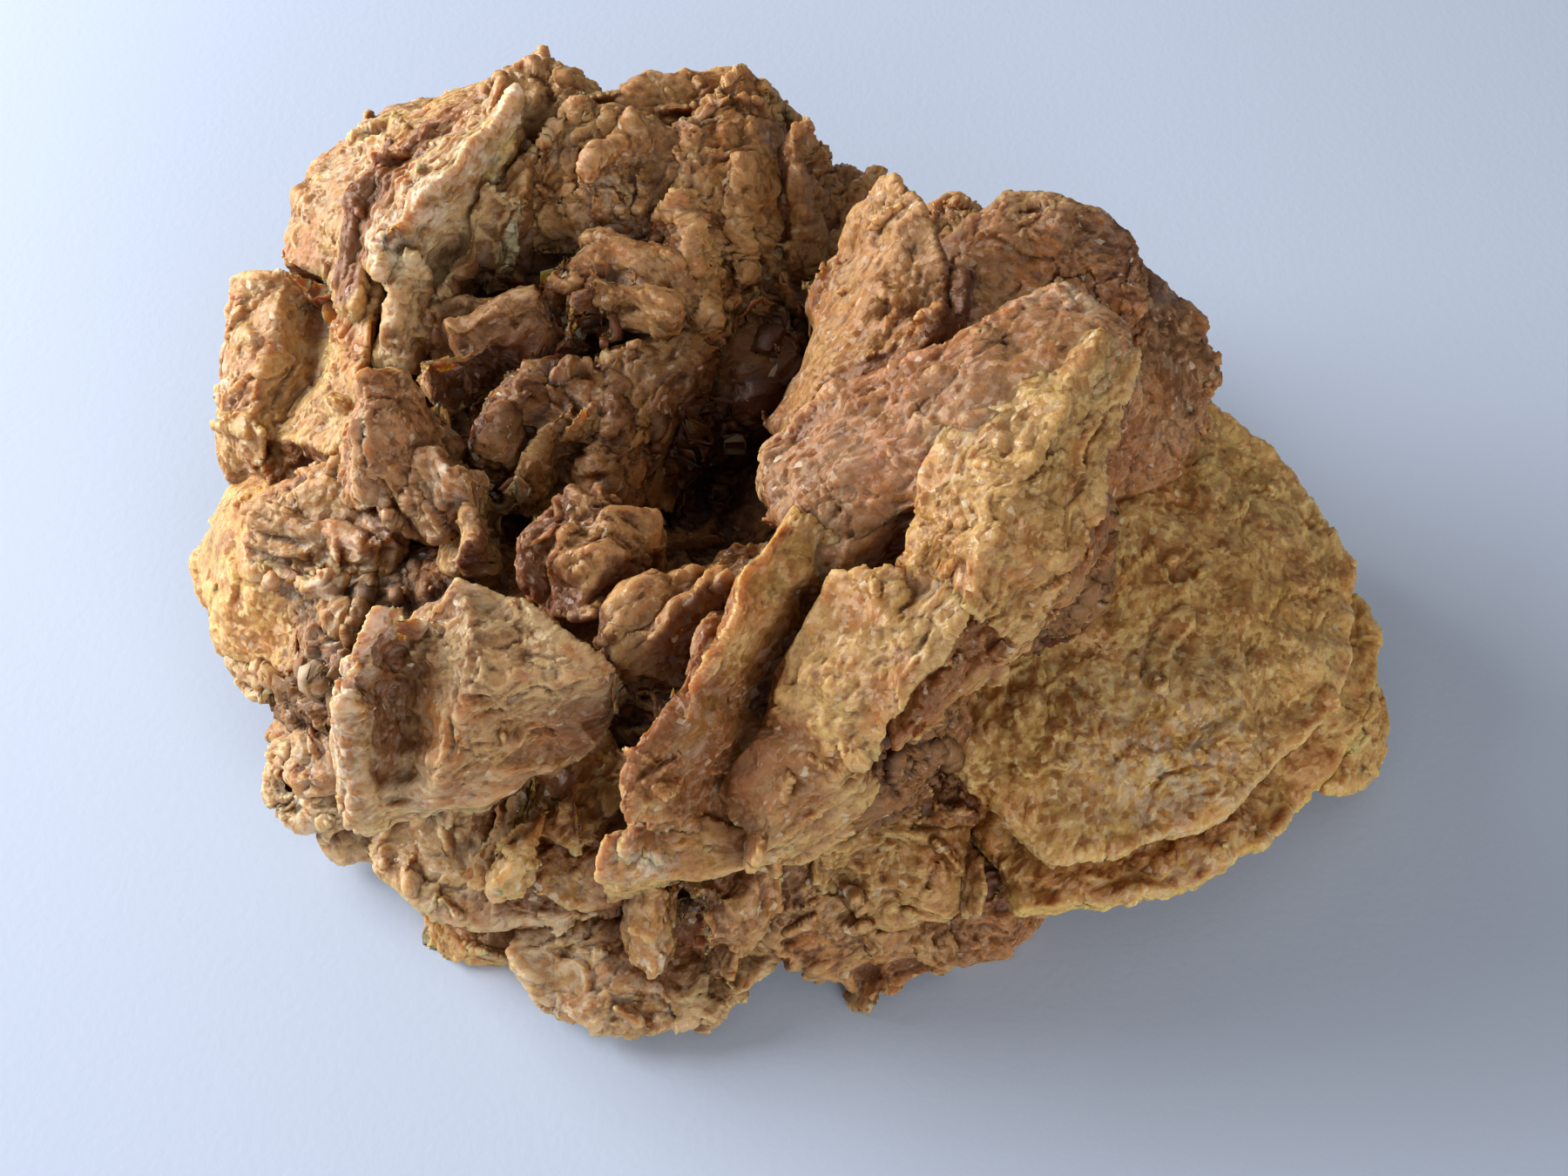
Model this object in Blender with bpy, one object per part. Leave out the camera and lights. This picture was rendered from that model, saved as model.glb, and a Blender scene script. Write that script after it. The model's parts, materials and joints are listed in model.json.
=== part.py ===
"""Gypsum sand rose: lens-shaped crystals grown through one another round a rough heart.

Metres, +Z up, +X to the right and +Y to the back. The rose stands on the table at z = 0, and
the origin is under the middle of its bounding box. Each crystal is its own object. Lengths in
the table of crystals are in millimetres.
"""

import math
import random

import bmesh
import bpy
from mathutils import Matrix, Vector, noise
from mathutils.kdtree import KDTree

MM = 0.001
GAP = 0.3            # between neighbours, all round
SEGMENTS = (16, 24)  # corners of the outline of a common and of a broad crystal
BROAD = 14           # the longest reach of a common crystal
SMALL = 8.5          # the longest reach of a small crystal, which has a single loop
ANGULAR = 0.6        # an outline's share of straight edges, against a smooth curve
RINGS = (0.5, 0.82)  # loops between a crystal's middle and its rim, as shares of the reach
WAVER = 0.45         # how far an outline's corner strays from its curve
RIPPLE = 0.25        # how far a face's corner strays from its lens
WARP = 2.2           # how far a crystal as a whole bends out of its plane
WARP_LENGTH = 9.0    # from one bend to the next
SHARP_FROM = 32      # degrees between faces whose edge is drawn sharp

HEART_BROWN = (0.24, 0.12, 0.05)
SAND_BROWN = (0.36, 0.20, 0.085)
HONEY = (0.50, 0.32, 0.11)
OLIVE = (0.43, 0.31, 0.10)
RED_BROWN = (0.38, 0.17, 0.07)
PALE = (0.58, 0.43, 0.26)


def stone(name, colour, roughness):
    """A rough, non-metallic mineral finish."""
    made = bpy.data.materials.new(name)
    made.use_nodes = True
    shader = made.node_tree.nodes["Principled BSDF"]
    shader.inputs["Base Color"].default_value = (*colour, 1.0)
    shader.inputs["Roughness"].default_value = roughness
    shader.inputs["Metallic"].default_value = 0.0
    return made


def new_object(name, form, material=None):
    """An object in the scene that holds this bmesh."""
    mesh = bpy.data.meshes.new(name)
    bmesh.ops.recalc_face_normals(form, faces=form.faces)
    form.to_mesh(mesh)
    form.free()
    if material:
        mesh.materials.append(material)
    made = bpy.data.objects.new(name, mesh)
    bpy.context.scene.collection.objects.link(made)
    return made


def reach_at(reach, turn):
    """The rim's distance at a share of a turn: between a smooth curve and straight edges."""
    count = len(reach)
    place = turn * count
    first = math.floor(place)
    t = place - first
    a, b, c, d = (reach[(first + k) % count] for k in (-1, 0, 1, 2))
    smooth = b + 0.5 * t * (c - a + t * (2 * a - 5 * b + 4 * c - d + t * (3 * (b - c) + d - a)))
    step = 2 * math.pi / count
    straight = b * c * math.sin(step) / (b * math.sin(t * step) + c * math.sin((1 - t) * step))
    return smooth + ANGULAR * (straight - smooth)


def lens(reach, thick, rim, dish, seed, grow=0.0):
    """A lens lying in XY: its outer face's middle is at z = 0 and the body is below it.

    reach holds the distances from the middle to the rim, evenly spaced round it, from +X
    towards +Y. rim is the thickness at the edge, and dish lifts the rim above the middle.
    """
    strays = random.Random(seed)
    form = bmesh.new()
    segments = SEGMENTS[max(reach) > BROAD]
    rings = RINGS if max(reach) > SMALL else RINGS[1:]
    turns = [k / segments for k in range(segments)]
    rims = [reach_at(reach, t) + strays.uniform(-WAVER, WAVER) + grow for t in turns]
    sheets = []
    for side in (1, -1):
        loops = []
        for share in (*rings, 1.0):
            half = (rim + (thick - rim) * (1 - share * share)) / 2 + grow
            loop = []
            for turn, far in zip(turns, rims):
                angle = 2 * math.pi * turn
                stray = share * strays.uniform(-RIPPLE, RIPPLE) if share < 1 else 0.0
                x, y = share * far * math.cos(angle), share * far * math.sin(angle)
                bend = WARP * noise.noise(Vector((x / WARP_LENGTH, y / WARP_LENGTH, seed * 3.3)))
                height = side * half + dish * share * share - thick / 2 + bend + stray
                loop.append(form.verts.new(Vector((x, y, height)) * MM))
            loops.append(loop)
        bend = WARP * noise.noise(Vector((0, 0, seed * 3.3)))
        middle = form.verts.new(Vector((0, 0, side * (thick / 2 + grow) - thick / 2 + bend)) * MM)
        for k in range(segments):
            after = (k + 1) % segments
            form.faces.new((middle, loops[0][k], loops[0][after]))
            for inner, outer in zip(loops, loops[1:]):
                form.faces.new((inner[k], outer[k], outer[after], inner[after]))
        sheets.append(loops[-1])
    upper, lower = sheets
    for k in range(segments):
        after = (k + 1) % segments
        form.faces.new((upper[k], lower[k], lower[after], upper[after]))
    return form


def facing(tilt, heading):
    """Turns +Z to lean by tilt degrees from upright towards heading, counted from +X to +Y.

    +X turns to the level line across the slope, and +Y to the line up the slope.
    """
    lean, turn = math.radians(tilt), math.radians(heading)
    outward = Vector((math.sin(lean) * math.cos(turn), math.sin(lean) * math.sin(turn), math.cos(lean)))
    across = Vector((-math.sin(turn), math.cos(turn), 0.0))
    return Matrix((across, outward.cross(across), outward)).transposed().to_4x4()


def lump(name, middle, radii, seed, grow=0.0, knobbly=0.09):
    """A knobbly ellipsoid, for the mass where no single crystal can be told apart."""
    form = bmesh.new()
    bmesh.ops.create_icosphere(form, subdivisions=3, radius=1.0)
    offset = Vector((seed * 3.7, seed * 1.3, seed * 7.1))
    for corner in form.verts:
        way = corner.co.normalized()
        swell = 1 + knobbly * noise.noise(way * 2.2 + offset) * 2 + knobbly * noise.noise(way * 5.5 + offset)
        size = Vector([r * swell + grow for r in radii])
        corner.co = Vector([middle[k] + way[k] * size[k] for k in range(3)]) * MM
    return new_object(name, form)


def volume_in(mesh):
    """The volume that a mesh closes in, or a negative number if it is open."""
    form = bmesh.new()
    form.from_mesh(mesh)
    closed = all(edge.is_manifold and edge.is_contiguous for edge in form.edges)
    volume = form.calc_volume(signed=True) if closed else -1.0
    form.free()
    return volume


def boolean(target, other, operation):
    """Joins other to target, or takes it away, and keeps the result as target's mesh."""
    own, others = volume_in(target.data), volume_in(other.data)
    least = max(own - others, 0.0) if operation == "DIFFERENCE" else max(own, others)
    cut = target.modifiers.new("fit", "BOOLEAN")
    cut.operation = operation
    cut.object = other
    for solver in ("EXACT", "MANIFOLD"):
        cut.solver = solver
        graph = bpy.context.evaluated_depsgraph_get()
        result = bpy.data.meshes.new_from_object(target.evaluated_get(graph))
        if volume_in(result) > 0.999 * least:
            break
    target.modifiers.remove(cut)
    before = target.data
    target.data = result
    bpy.data.meshes.remove(before)


def islands_of(form):
    """The separate bodies of a bmesh, each as a set of its corners."""
    left = set(form.verts)
    while left:
        island, edge = set(), [left.pop()]
        while edge:
            corner = edge.pop()
            island.add(corner)
            found = [line.other_vert(corner) for line in corner.link_edges]
            edge += [v for v in found if v in left]
            left.difference_update(found)
        yield island


def volume_of(island):
    faces = {face for corner in island for face in corner.link_faces}
    return sum(f.calc_center_median().dot(f.normal) * f.calc_area() for f in faces)


def keep_one(target, worth):
    """Drops the offcuts beyond a neighbour, and leaves the body that is worth most."""
    form = bmesh.new()
    form.from_mesh(target.data)
    islands = sorted(islands_of(form), key=worth)
    spare = [corner for island in islands[:-1] for corner in island]
    bmesh.ops.delete(form, geom=spare, context="VERTS")
    form.to_mesh(target.data)
    form.free()


def worth_round(body):
    """How much of an island lies close round this body."""
    corners = [body.matrix_world @ v.co for v in body.data.vertices]
    tree = KDTree(len(corners))
    for k, corner in enumerate(corners):
        tree.insert(corner, k)
    tree.balance()
    to_world = body.matrix_world
    return lambda island: sum(tree.find(to_world @ v.co)[2] < 3 * GAP * MM for v in island)


def box_of(thing):
    corners = [thing.matrix_world @ v.co for v in thing.data.vertices]
    return [(min(c[k] for c in corners), max(c[k] for c in corners)) for k in range(3)]


def near(one, other):
    return all(a[0] < b[1] and b[0] < a[1] for a, b in zip(box_of(one), box_of(other)))


def below_table():
    """A slab under the table top, which gives the rose its worn foot."""
    form = bmesh.new()
    bmesh.ops.create_cube(form, size=1.0)
    bmesh.ops.scale(form, vec=(0.4, 0.4, 0.1), verts=form.verts)
    bmesh.ops.translate(form, vec=(0, 0, -0.05), verts=form.verts)
    return new_object("below_table", form)


FINISHES = {
    "heart": stone("heart_gypsum", HEART_BROWN, 0.85),
    "sand": stone("sand_brown_gypsum", SAND_BROWN, 0.75),
    "honey": stone("honey_gypsum", HONEY, 0.5),
    "olive": stone("olive_disc_gypsum", OLIVE, 0.45),
    "red": stone("red_brown_gypsum", RED_BROWN, 0.65),
    "pale": stone("pale_crust_gypsum", PALE, 0.6),
}

# The rough heart: (middle, radii, seed) of each swelling.
HEART = (
    ((-2, 12, 9), (42, 29, 15), 1),
    ((-17, 32, 20), (27, 17, 19), 2),
    ((3, -10, 23), (14, 13, 14), 3),
    ((17, 4, 27), (14, 12, 16), 4),
    ((-34, 2, 14), (17, 18, 13), 5),
)

# One line for each crystal: name, finish, the middle of its outer face, tilt, heading, the
# reaches round its rim, and its thickness, rim and dish. Earlier ones grew first: a later
# crystal stops at them.
CRYSTALS = (
    # the crest, nearest the top
    ("right_crest_slab", "honey", (16, -12, 46), 25, -120, (9, 15, 26, 11, 8, 10, 20, 9), 10, 4.5, 0),
    ("pink_saddle_slab", "red", (12, 3, 50), 28, -110, (9, 22, 9, 6, 9, 17, 12, 8), 9, 4.0, 0),
    ("front_crest_slab", "honey", (0, -26, 37), 32, -115, (7, 11, 13, 5, 5, 9, 10, 6), 8, 2.5, 0),
    ("tall_tip_blade", "sand", (7, 14, 45), 55, -160, (8, 11, 15, 10, 8, 9, 15, 9), 8, 1.5, 0),
    ("prow_blade", "honey", (-5, -22, 37), 55, -30, (17, 10, 7, 8, 15, 9, 7, 9), 7, 1.2, 0),
    ("front_lip_plate", "honey", (-2, -27, 27), 40, -80, (10, 6, 4, 4, 9, 6, 5, 6), 3, 0.9, 0),
    ("valley_blade", "sand", (-10, -11, 35), 60, -60, (8, 5, 4, 5, 7, 9, 6, 5), 5, 1.2, 0),
    # the broad discs on the right
    ("right_fan_upper", "olive", (35, -2, 21), 12, -20, (34, 25, 22, 24, 26, 20, 21, 29), 7, 1.6, 0),
    ("right_fan_middle", "olive", (39, -1, 13), 8, -30, (31, 21, 18, 22, 31, 22, 20, 25), 6, 1.8, 0),
    ("right_fan_low", "olive", (59, -4, 8), 30, -20, (7, 6, 6, 8, 9, 7, 6, 6), 4, 1.2, 0),
    ("under_crest_plate", "sand", (14, -16, 18), 25, -60, (7, 8, 7, 7, 8, 7, 7, 7), 4, 1.2, 0),
    ("upper_right_disc", "red", (35, 21, 31), 45, -50, (13, 13, 12, 10, 11, 12, 12, 12), 6, 1.6, 0),
    ("red_rim_disc", "red", (26, 30, 37), 40, -110, (11, 9, 8, 9, 11, 10, 9, 9), 7, 1.8, 1.5),
    ("far_grey_disc", "sand", (19, 48, 24), 10, -90, (6, 5, 7, 6, 8, 12, 14, 10), 6, 2.0, 0),
    # the upper left mass
    ("white_crest_blade", "pale", (-35, 36, 41), 60, -40, (16, 12, 9, 11, 15, 14, 12, 14), 8, 2.2, 0),
    ("peak_blade", "sand", (-25, 42, 43), 55, -85, (9, 8, 8, 9, 9, 9, 9, 9), 8, 2.4, 0),
    ("tan_face_blade", "sand", (-17, 34, 43), 45, -85, (12, 10, 10, 10, 10, 10, 10, 12), 9, 2.4, 0),
    ("top_brown_blade", "sand", (-9, 42, 41), 45, -60, (12, 11, 10, 11, 11, 10, 10, 10), 8, 2.0, 0),
    ("shoulder_blade", "sand", (0, 39, 41), 50, -25, (11, 13, 10, 11, 12, 13, 11, 11), 8, 1.8, 0),
    ("back_knob", "sand", (9, 41, 36), 40, -40, (5, 5, 5, 6, 8, 8, 8, 6), 7, 3.0, 0),
    ("mid_step_blade", "sand", (-17, 24, 41), 50, -100, (10, 6, 5, 6, 8, 7, 6, 8), 6, 2.0, 0),
    ("mid_rib_blade", "red", (-28, 21, 37), 60, -100, (9, 6, 5, 6, 10, 7, 6, 6), 5, 1.6, 0),
    ("valley_wall_blade", "sand", (-6, 17, 34), 52, -50, (13, 10, 8, 11, 14, 13, 8, 8), 9, 2.4, 0),
    ("upper_left_plate", "honey", (-44, 46, 34), 40, -150, (12, 15, 16, 13, 12, 15, 15, 12), 9, 1.8, 0),
    ("left_hollow_lobe", "honey", (-51, 27, 28), 30, -140, (12, 11, 11, 12, 13, 10, 12, 13), 9, 3.0, 2.5),
    ("left_under_lobe", "honey", (-55, 23, 22), 20, -150, (7, 11, 9, 8, 8, 7, 6, 6), 8, 2.5, 0),
    # left and front left
    ("left_honey_disc", "olive", (-57, 8, 18), 50, -160, (14, 12, 10, 10, 12, 12, 10, 10), 6, 1.0, 0),
    ("front_slab", "pale", (-28, -18, 34), 42, -110, (12, 11, 11, 12, 12, 14, 10, 11), 9, 3.5, 0),
    ("chip_blade", "sand", (-19, -5, 38), 50, -70, (8, 7, 7, 7, 7, 7, 8, 7), 6, 1.6, 0),
    ("red_wall_blade", "red", (-34, 7, 37), 55, -40, (6, 7, 10, 7, 6, 7, 12, 7), 6, 1.4, 0),
    ("hollow_plate", "sand", (-22, 11, 35), 42, -95, (10, 8, 7, 9, 10, 8, 8, 9), 8, 2.4, 0),
    ("left_shelf_blade", "sand", (-47, 3, 25), 45, -140, (8, 10, 9, 10, 10, 10, 9, 8), 6, 1.8, 0),
    ("pale_nub", "pale", (-54, -1, 16), 40, -150, (5, 6, 5, 5, 5, 5, 5, 5), 5, 2.0, 0),
    ("left_rib_upper", "sand", (-49, -5, 20), 55, -145, (8, 10, 8, 8, 7, 7, 7, 6), 5, 1.4, 0),
    ("left_rib_lower", "sand", (-48, -10, 15), 50, -150, (8, 9, 8, 6, 5, 8, 8, 6), 5, 1.4, 0),
    ("pale_edge_blade", "pale", (-47, -14, 11), 55, -130, (6, 7, 6, 5, 6, 7, 6, 5), 4, 1.8, 0),
    ("small_white_tip", "pale", (-43, -17, 6), 60, -120, (4, 5, 4, 5, 5, 5, 4, 3), 3.5, 1.4, 0),
    # low at the front
    ("step_upper", "honey", (-20, -20, 20), 20, -110, (5, 6, 6, 5, 5, 6, 5, 5), 3, 1.2, 0),
    ("step_lower", "honey", (-18, -23, 15), 20, -110, (6, 6, 6, 6, 9, 7, 6, 6), 3.5, 1.2, 0),
    ("amber_blade", "honey", (-27, -22, 16), 60, 170, (7, 8, 6, 6, 7, 8, 7, 5), 2.5, 0.8, 0),
    ("lower_left_shelf", "pale", (-28, -20, 12), 12, -120, (14, 13, 11, 10, 14, 13, 9, 9), 4.5, 1.2, 0),
    ("orange_tab", "honey", (-31, -25, 4), 18, -105, (6, 6, 7, 7, 7, 6, 5, 5), 3, 1.2, 0),
    ("white_tipped_tooth", "honey", (-13, -31, 14), 70, -95, (3, 4, 7, 4, 3, 5, 8, 5), 5, 2.0, 0),
    ("wedge_twin", "sand", (-4, -31, 18), 50, -60, (4, 5, 5, 5, 4, 4, 5, 4), 5, 1.2, 0),
    ("bottom_dish", "pale", (-14, -29, 6), 12, -90, (15, 14, 12, 12, 13, 10, 8, 10), 5, 1.6, 1.2),
    ("dish_rim_plate", "sand", (-6, -30, 7), 50, -80, (7, 7, 6, 7, 8, 6, 5, 6), 4, 1.2, 0),
    ("front_fan_upper", "honey", (11, -24, 15), 45, -68, (8, 8, 7, 8, 9, 8, 8, 9), 4, 1.0, 0),
    ("front_fan_lower", "sand", (8, -28, 10), 42, -70, (10, 10, 9, 10, 9, 8, 9, 10), 5, 1.2, 0),
    ("brown_sill", "red", (20, -23, 6), 20, -75, (9, 7, 8, 9, 10, 8, 6, 7), 5, 1.4, 0),
    # the far side
    ("back_left_disc", "olive", (-36, 47, 18), 75, 110, (17, 14, 12, 13, 16, 14, 12, 14), 7, 1.6, 0),
    ("back_middle_blade", "sand", (-8, 47, 22), 65, 80, (15, 13, 14, 12, 14, 13, 12, 13), 8, 1.8, 0),
    ("back_right_disc", "olive", (22, 36, 20), 60, 60, (15, 13, 12, 13, 14, 13, 12, 13), 7, 1.6, 0),
    ("back_low_plate", "sand", (4, 44, 8), 30, 90, (16, 12, 10, 12, 17, 12, 10, 12), 6, 1.6, 0),
)


def clear_scene():
    for thing in list(bpy.data.objects):
        bpy.data.objects.remove(thing)


def heart_shape(name, grow):
    """The heart's swellings joined into one body."""
    swellings = [lump(f"{name}_{k}", *form, grow=grow) for k, form in enumerate(HEART)]
    body = swellings[0]
    for other in swellings[1:]:
        boolean(body, other, "UNION")
        bpy.data.objects.remove(other)
    body.name = name
    return body


def crystal_shape(name, row, seed, grow):
    _, _, middle, tilt, heading, reach, thick, rim, dish = row
    made = new_object(name, lens(reach, thick, rim, dish, seed, grow))
    made.matrix_world = Matrix.Translation(Vector(middle) * MM) @ facing(tilt, heading)
    bpy.context.view_layer.update()
    return made


def fit(shape, others, worth=volume_of):
    """Takes the neighbours away from a shape and keeps its main body."""
    for other in others:
        if near(shape, other):
            boolean(shape, other, "DIFFERENCE")
    keep_one(shape, worth)


def finish(body, name):
    body.data.materials.clear()
    body.data.materials.append(FINISHES[name])


def build():
    clear_scene()
    table = below_table()
    bodies, keep_outs = [], []
    heart = heart_shape("rough_heart", 0.0)
    fit(heart, [table])
    finish(heart, "heart")
    bodies.append(heart)
    keep_outs.append(heart_shape("heart_keep_out", GAP))
    for seed, row in enumerate(CRYSTALS, start=1):
        body = crystal_shape(row[0], row, seed, 0.0)
        fit(body, [table, *keep_outs])
        keep_out = crystal_shape(row[0] + "_keep_out", row, seed, GAP)
        fit(keep_out, bodies, worth_round(body))
        finish(body, row[1])
        bodies.append(body)
        keep_outs.append(keep_out)
    for helper in (table, *keep_outs):
        bpy.data.objects.remove(helper)
    centre_on_base(bodies)
    for body in bodies:
        body.data.shade_smooth()
        body.data.set_sharp_from_angle(angle=math.radians(SHARP_FROM))


def centre_on_base(bodies):
    """Moves the rose so that the origin is under the middle of its box."""
    boxes = [box_of(body) for body in bodies]
    low = [min(box[k][0] for box in boxes) for k in range(3)]
    high = [max(box[k][1] for box in boxes) for k in range(3)]
    shift = Vector((-(low[0] + high[0]) / 2, -(low[1] + high[1]) / 2, -low[2]))
    for body in bodies:
        body.matrix_world = Matrix.Translation(shift) @ body.matrix_world


build()
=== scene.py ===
import itertools
import json
import math
import random

import bmesh
import bpy
import numpy as np
from mathutils import Matrix, Vector, noise
from mathutils.bvhtree import BVHTree


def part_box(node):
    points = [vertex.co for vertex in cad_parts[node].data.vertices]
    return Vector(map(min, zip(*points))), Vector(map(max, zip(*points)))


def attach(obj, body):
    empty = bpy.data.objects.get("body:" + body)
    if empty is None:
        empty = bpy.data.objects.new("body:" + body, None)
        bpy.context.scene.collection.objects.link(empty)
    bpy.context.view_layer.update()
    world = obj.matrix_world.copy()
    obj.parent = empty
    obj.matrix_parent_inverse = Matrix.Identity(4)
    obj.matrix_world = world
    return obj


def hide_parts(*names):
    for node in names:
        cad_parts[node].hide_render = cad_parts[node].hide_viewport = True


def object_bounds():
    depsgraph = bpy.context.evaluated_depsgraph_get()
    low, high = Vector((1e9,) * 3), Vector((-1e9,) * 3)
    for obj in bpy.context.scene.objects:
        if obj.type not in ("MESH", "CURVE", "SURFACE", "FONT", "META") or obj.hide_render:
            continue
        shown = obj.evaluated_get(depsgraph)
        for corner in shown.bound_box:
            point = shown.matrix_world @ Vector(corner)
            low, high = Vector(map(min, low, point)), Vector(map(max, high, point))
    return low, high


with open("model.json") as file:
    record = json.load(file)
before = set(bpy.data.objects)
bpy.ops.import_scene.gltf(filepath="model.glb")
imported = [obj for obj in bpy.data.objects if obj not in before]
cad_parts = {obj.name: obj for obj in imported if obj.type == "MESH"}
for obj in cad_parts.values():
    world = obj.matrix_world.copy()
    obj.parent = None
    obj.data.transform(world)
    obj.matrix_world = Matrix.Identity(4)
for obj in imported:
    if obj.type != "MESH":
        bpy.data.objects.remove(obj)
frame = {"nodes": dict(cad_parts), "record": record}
cadBox = [list(corner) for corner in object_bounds()]
mm = 0.001
scene = bpy.context.scene

# how each kind of crystal grew: lengths in mm, colours linear; the rim tint is a painted glow of light through thin
# rims, and the crust share paints rims that face the window lamp paler
growth = {
    "heart_gypsum": dict(
        voxel=0.34, swell=0.9, soften=2, flakesPer100=7.0, flakeLength=(1.8, 4.5), flakeThick=1.0,
        bend=1.2, crinkle=0.5, facet=0.6, scale=0.45, lamina=0.12, rib=0.16, grain=0.2, pit=0.35, crust_and_painted_light=0.15,
        base=(0.194, 0.078, 0.021), light=(0.31, 0.153, 0.051), deep=(0.057, 0.015, 0.004),
        stain=(0.26, 0.081, 0.022), stainShare=0.35, rimGlowTint=(0.348, 0.192, 0.061), glow=0.3, roughness=0.6),
    "sand_brown_gypsum": dict(
        voxel=0.3, swell=0.35, soften=1, flakesPer100=4.5, flakeLength=(1.5, 4.0), flakeThick=0.85,
        bend=1.0, crinkle=0.45, facet=0.5, scale=0.34, lamina=0.12, rib=0.16, grain=0.18, pit=0.26, crust_and_painted_light=0.35,
        base=(0.399, 0.184, 0.053), light=(0.547, 0.323, 0.128), deep=(0.153, 0.047, 0.011),
        stain=(0.409, 0.139, 0.039), stainShare=0.40, rimGlowTint=(0.586, 0.372, 0.133), glow=0.55, roughness=0.5),
    "honey_gypsum": dict(
        voxel=0.28, swell=0.35, soften=1, flakesPer100=3.5, flakeLength=(1.4, 3.4), flakeThick=0.8,
        bend=0.9, crinkle=0.4, facet=0.42, scale=0.31, lamina=0.12, rib=0.16, grain=0.16, pit=0.2, crust_and_painted_light=0.35,
        base=(0.474, 0.245, 0.066), light=(0.638, 0.428, 0.171), deep=(0.237, 0.081, 0.017),
        stain=(0.453, 0.171, 0.041), stainShare=0.50, rimGlowTint=(0.679, 0.476, 0.156), glow=0.65, roughness=0.46),
    "olive_disc_gypsum": dict(
        voxel=0.29, swell=0.3, soften=2, flakesPer100=1.2, flakeLength=(1.4, 2.6), flakeThick=0.7,
        bend=0.9, crinkle=0.35, facet=0.36, scale=0.24, lamina=0.12, rib=0.18, grain=0.14, pit=0.1, crust_and_painted_light=0.15,
        base=(0.626, 0.35, 0.091), light=(0.788, 0.542, 0.218), deep=(0.426, 0.173, 0.039),
        stain=(0.598, 0.243, 0.058), stainShare=0.3, rimGlowTint=(0.813, 0.601, 0.146), glow=0.7, roughness=0.46),
    "red_brown_gypsum": dict(
        voxel=0.29, swell=0.35, soften=1, flakesPer100=3.5, flakeLength=(1.4, 3.4), flakeThick=0.8,
        bend=1.0, crinkle=0.45, facet=0.45, scale=0.34, lamina=0.12, rib=0.16, grain=0.18, pit=0.26, crust_and_painted_light=0.45,
        base=(0.373, 0.169, 0.057), light=(0.512, 0.302, 0.136), deep=(0.153, 0.048, 0.013),
        stain=(0.383, 0.122, 0.042), stainShare=0.65, rimGlowTint=(0.53, 0.329, 0.124), glow=0.55, roughness=0.5),
    "pale_crust_gypsum": dict(
        voxel=0.28, swell=0.35, soften=1, flakesPer100=4.0, flakeLength=(1.3, 3.2), flakeThick=0.8,
        bend=0.9, crinkle=0.45, facet=0.46, scale=0.34, lamina=0.12, rib=0.16, grain=0.18, pit=0.24, crust_and_painted_light=1.0,
        base=(0.462, 0.245, 0.087), light=(0.651, 0.47, 0.24), deep=(0.198, 0.073, 0.021),
        stain=(0.429, 0.172, 0.051), stainShare=0.3, rimGlowTint=(0.693, 0.518, 0.22), glow=0.65, roughness=0.46),
}

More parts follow.
